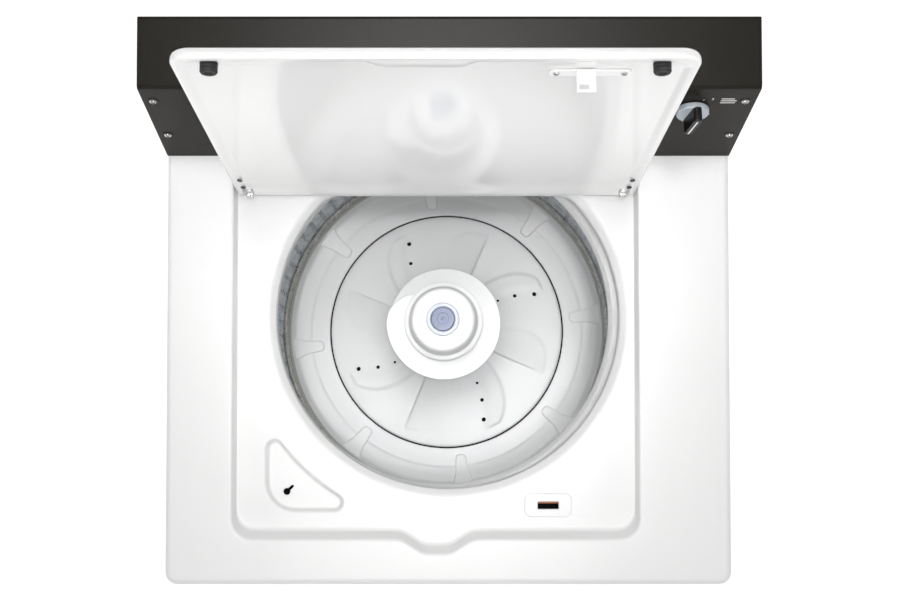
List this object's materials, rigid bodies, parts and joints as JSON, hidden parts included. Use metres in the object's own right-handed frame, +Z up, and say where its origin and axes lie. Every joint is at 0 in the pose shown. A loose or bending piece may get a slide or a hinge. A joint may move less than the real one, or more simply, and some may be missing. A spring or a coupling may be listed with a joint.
{
  "type": "top load washing machine",
  "caption": "Top-loading washing machine with a hinged lid standing open, sloping rear console with rotary controls, hung tub, spinning perforated basket and an agitator with its auger.",
  "frame": {"origin": "on the floor, under the middle of the machine's outline", "axes": "+Z up, +Y towards the back, +X to the right seen from the front"},
  "size_m": [0.699, 0.686, 1.3327],
  "materials": {
    "white_enamel": "gloss enamel",
    "graphite_paint": "satin metallic",
    "white_plastic": "semi-gloss",
    "tub_plastic": "moulded",
    "basket_steel": "perforated, brushed",
    "zinc_steel": "zinc plated",
    "bright_steel": "bright plated",
    "aluminium_cast": "as cast",
    "motor_iron": "black enamel",
    "black_plastic": "fine texture",
    "grey_plastic": "moulded",
    "black_rubber": "matte",
    "cap_blue": "satin",
    "board_green": "solder mask"
  },
  "bodies": {
    "cabinet": {"cabinet_shell": "white_enamel", "rear_panel": "zinc_steel", "base_brace_front": "zinc_steel", "base_brace_rear": "zinc_steel", "top_panel": "white_enamel", "bleach_chute": "black_plastic", "lid_lock_bezel": "white_plastic", "lid_lock_housing": "black_plastic", "water_valve": "grey_plastic", "fill_nozzle": "white_plastic", "fill_hose": "black_rubber", "drain_outlet": "black_plastic", "cord_gland": "black_plastic", "console_panel": "graphite_paint", "console_end_left": "black_plastic", "console_end_right": "black_plastic", "console_back": "zinc_steel", "control_board": "board_green", "suspension_rod_1": "zinc_steel", "suspension_spring_1": "zinc_steel", "suspension_rod_2": "zinc_steel", "suspension_spring_2": "zinc_steel", "suspension_rod_3": "zinc_steel", "suspension_spring_3": "zinc_steel", "suspension_rod_4": "zinc_steel", "suspension_spring_4": "zinc_steel"},
    "lid": {"lid_panel": "white_enamel", "hinge_left": "zinc_steel", "hinge_right": "zinc_steel", "lid_strike": "white_enamel", "lid_bumper_left": "black_rubber", "lid_bumper_right": "black_rubber"},
    "tub_unit": {"outer_tub": "tub_plastic", "tub_ring": "white_plastic", "gearcase": "aluminium_cast", "drive_motor": "motor_iron", "drain_pump": "grey_plastic", "drive_belt": "black_rubber", "drain_hose": "black_rubber"},
    "basket": {"basket_wall": "basket_steel", "basket_base": "white_plastic", "balance_ring": "white_plastic", "basket_hub": "aluminium_cast"},
    "agitator": {"agitator_base": "white_plastic", "drive_shaft": "bright_steel"},
    "auger_top": {"auger": "white_plastic", "agitator_cap": "cap_blue"},
    "input_pulley": {"drive_pulley": "aluminium_cast"},
    "motor_rotor": {"motor_pulley": "zinc_steel"},
    "pump_rotor": {"pump_impeller": "black_plastic"},
    "load_dial": {"load_knob": "black_plastic"},
    "temperature_dial": {"temperature_knob": "black_plastic"},
    "cycle_dial": {"cycle_knob": "black_plastic"},
    "options_dial": {"options_knob": "black_plastic"},
    "start_key": {"start_button": "grey_plastic"},
    "lid_bolt": {"lock_bolt": "zinc_steel"},
    "levelling_foot_1": {"foot_1": "black_rubber"},
    "levelling_foot_2": {"foot_2": "black_rubber"},
    "levelling_foot_3": {"foot_3": "black_rubber"},
    "levelling_foot_4": {"foot_4": "black_rubber"}
  },
  "joints": [
    {"name": "lid_hinge", "type": "hinge", "parent": "cabinet", "child": "lid", "pos_m": [-0.015, 0.152, 0.903], "axis": [1, 0, 0], "range_deg": [0, 97.25]},
    {"name": "tub_bounce", "type": "slide", "parent": "cabinet", "child": "tub_unit", "axis": [0, 0, 1], "range_m": [-0.02, 0.005], "stiffness_N_per_m": 20000, "springref_m": 0.01693, "deforming": ["suspension_spring_1", "suspension_spring_2", "suspension_spring_3", "suspension_spring_4"]},
    {"name": "basket_spin", "type": "hinge", "parent": "tub_unit", "child": "basket", "pos_m": [0, -0.01, 0.55], "axis": [-0.0227, 0, 0.9997], "continuous": true},
    {"name": "agitator_spin", "type": "hinge", "parent": "basket", "child": "agitator", "pos_m": [0, -0.01, 0.55], "axis": [-0.0227, 0, 0.9997], "continuous": true},
    {"name": "auger_spin", "type": "hinge", "parent": "agitator", "child": "auger_top", "pos_m": [-0.00318, -0.01, 0.68996], "axis": [-0.0227, 0, 0.9997], "continuous": true},
    {"name": "pulley_spin", "type": "hinge", "parent": "tub_unit", "child": "input_pulley", "pos_m": [0.00633, -0.01, 0.27107], "axis": [-0.0227, 0, 0.9997], "continuous": true},
    {"name": "motor_spin", "type": "hinge", "parent": "tub_unit", "child": "motor_rotor", "pos_m": [-0.12764, -0.144, 0.26803], "axis": [-0.0227, 0, 0.9997], "continuous": true},
    {"name": "pump_spin", "type": "hinge", "parent": "tub_unit", "child": "pump_rotor", "pos_m": [0.15246, -0.13, 0.44343], "axis": [-0.0227, 0, 0.9997], "continuous": true},
    {"name": "load_turn", "type": "hinge", "parent": "cabinet", "child": "load_dial", "pos_m": [-0.19, 0.21898, 1.03527], "axis": [0, -0.9678, 0.2518], "range_deg": [-270, 0]},
    {"name": "temperature_turn", "type": "hinge", "parent": "cabinet", "child": "temperature_dial", "pos_m": [-0.075, 0.21898, 1.03527], "axis": [0, -0.9678, 0.2518], "range_deg": [-270, 0]},
    {"name": "cycle_turn", "type": "hinge", "parent": "cabinet", "child": "cycle_dial", "pos_m": [0.095, 0.21898, 1.03527], "axis": [0, -0.9678, 0.2518], "continuous": true},
    {"name": "options_turn", "type": "hinge", "parent": "cabinet", "child": "options_dial", "pos_m": [0.28, 0.21898, 1.03527], "axis": [0, -0.9678, 0.2518], "range_deg": [-240, 0]},
    {"name": "start_press", "type": "slide", "parent": "cabinet", "child": "start_key", "axis": [0, 0.9678, -0.2518], "range_m": [0, 0.003], "stiffness_N_per_m": 400, "springref_m": -0.002},
    {"name": "bolt_slide", "type": "slide", "parent": "cabinet", "child": "lid_bolt", "axis": [0, 1, 0], "range_m": [0, 0.019]},
    {"name": "foot_1_screw", "type": "slide", "parent": "cabinet", "child": "levelling_foot_1", "axis": [0, 0, -1], "range_m": [0, 0.02]},
    {"name": "foot_2_screw", "type": "slide", "parent": "cabinet", "child": "levelling_foot_2", "axis": [0, 0, -1], "range_m": [0, 0.02]},
    {"name": "foot_3_screw", "type": "slide", "parent": "cabinet", "child": "levelling_foot_3", "axis": [0, 0, -1], "range_m": [0, 0.02]},
    {"name": "foot_4_screw", "type": "slide", "parent": "cabinet", "child": "levelling_foot_4", "axis": [0, 0, -1], "range_m": [0, 0.02]}
  ],
  "couplings": [
    {"joint": "pulley_spin", "follows": "agitator_spin", "ratio": 4},
    {"joint": "motor_spin", "follows": "agitator_spin", "ratio": 15.833}
  ]
}
